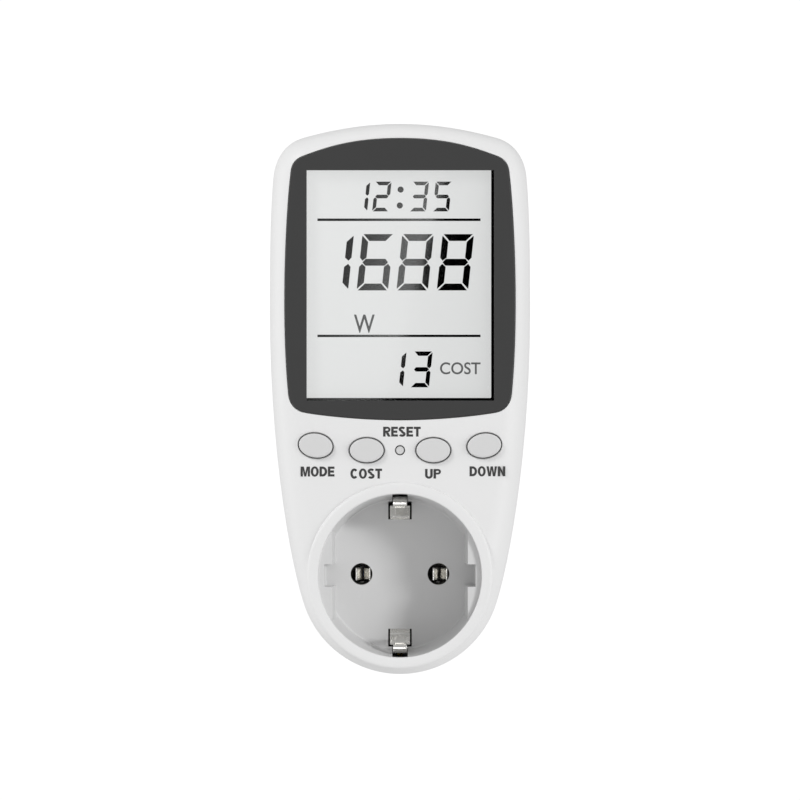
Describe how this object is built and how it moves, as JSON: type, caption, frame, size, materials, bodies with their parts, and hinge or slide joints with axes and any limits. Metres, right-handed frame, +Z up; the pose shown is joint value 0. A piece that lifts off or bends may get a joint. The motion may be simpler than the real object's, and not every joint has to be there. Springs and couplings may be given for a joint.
{
  "type": "plug-in power meter",
  "caption": "Plug-in power meter: earthed wall plug at the back, matching socket at the front, segment display with dark bezel above, oval push buttons between.",
  "frame": {"origin": "centre of the plug's end face, on the axis that the plug and the socket share", "axes": "+Y from the display side towards the wall, along the plug's pins; +Z up along the casing's length; +X to the right seen from the front"},
  "size_m": [0.064, 0.0769, 0.1351],
  "materials": {
    "white_casing": "satin white, fine moulded grain",
    "button_plastic": "satin light grey",
    "bezel_plastic": "satin dark grey",
    "black_plastic": "matt black",
    "clear_window": "clear polished acrylic",
    "display_glass": "pale grey reflective display with black segments",
    "silicone": "matt",
    "board_laminate": "green solder resist",
    "nickel_plate": "bright nickel plating",
    "shunt_metal": "bare resistance alloy",
    "screw_steel": "zinc-plated steel",
    "chip_plastic": "matt black moulding",
    "capacitor_box": "satin yellow",
    "green_wrap": "satin green sleeve",
    "blue_coating": "glossy blue epoxy",
    "capacitor_sleeve": "glossy black sleeve",
    "brown_insulation": "satin",
    "blue_insulation": "satin",
    "earth_insulation": "satin green and yellow"
  },
  "bodies": {
    "housing": {"front_shell": "white_casing", "rear_shell": "white_casing", "socket_cup": "white_casing", "display_bezel": "bezel_plastic", "lcd_holder": "black_plastic", "contact_retainer": "black_plastic", "display_lens": "clear_window", "lcd_panel": "display_glass", "upper_zebra_strip": "silicone", "lower_zebra_strip": "silicone", "ribbon_cable": "silicone", "display_board": "board_laminate", "power_board": "board_laminate", "live_contact": "nickel_plate", "neutral_contact": "nickel_plate", "upper_earth_contact": "nickel_plate", "lower_earth_contact": "nickel_plate", "earth_strap": "nickel_plate", "live_pin": "nickel_plate", "neutral_pin": "nickel_plate", "upper_earth_clip": "nickel_plate", "lower_earth_clip": "nickel_plate", "earth_sleeve": "nickel_plate", "earth_bracket": "nickel_plate", "current_shunt": "shunt_metal", "case_screw_1": "screw_steel", "case_screw_2": "screw_steel", "case_screw_3": "screw_steel", "case_screw_4": "screw_steel", "board_screw_1": "screw_steel", "board_screw_2": "screw_steel", "board_screw_3": "screw_steel", "clock_crystal": "screw_steel", "display_driver": "chip_plastic", "metering_chip": "chip_plastic", "mode_switch": "chip_plastic", "cost_switch": "chip_plastic", "up_switch": "chip_plastic", "down_switch": "chip_plastic", "reset_switch": "chip_plastic", "dropper_capacitor": "capacitor_box", "backup_battery": "green_wrap", "input_fuse": "green_wrap", "surge_varistor": "blue_coating", "smoothing_capacitor": "capacitor_sleeve", "live_feed_wire": "brown_insulation", "live_return_wire": "brown_insulation", "neutral_wire": "blue_insulation", "neutral_sense_wire": "blue_insulation", "earth_wire": "earth_insulation"},
    "mode_key": {"mode_button": "button_plastic", "mode_plunger": "black_plastic"},
    "cost_key": {"cost_button": "button_plastic", "cost_plunger": "black_plastic"},
    "up_key": {"up_button": "button_plastic", "up_plunger": "black_plastic"},
    "down_key": {"down_button": "button_plastic", "down_plunger": "black_plastic"},
    "reset_key": {"reset_button": "button_plastic", "reset_plunger": "black_plastic"}
  },
  "joints": [
    {"name": "mode_press", "type": "slide", "parent": "housing", "child": "mode_key", "axis": [0, 1, 0], "range_m": [0, 0.0005], "stiffness_N_per_m": 300, "springref_m": -0.002},
    {"name": "cost_press", "type": "slide", "parent": "housing", "child": "cost_key", "axis": [0, 1, 0], "range_m": [0, 0.0005], "stiffness_N_per_m": 300, "springref_m": -0.002},
    {"name": "up_press", "type": "slide", "parent": "housing", "child": "up_key", "axis": [0, 1, 0], "range_m": [0, 0.0005], "stiffness_N_per_m": 300, "springref_m": -0.002},
    {"name": "down_press", "type": "slide", "parent": "housing", "child": "down_key", "axis": [0, 1, 0], "range_m": [0, 0.0005], "stiffness_N_per_m": 300, "springref_m": -0.002},
    {"name": "reset_press", "type": "slide", "parent": "housing", "child": "reset_key", "axis": [0, 1, 0], "range_m": [0, 0.0005], "stiffness_N_per_m": 300, "springref_m": -0.002}
  ]
}
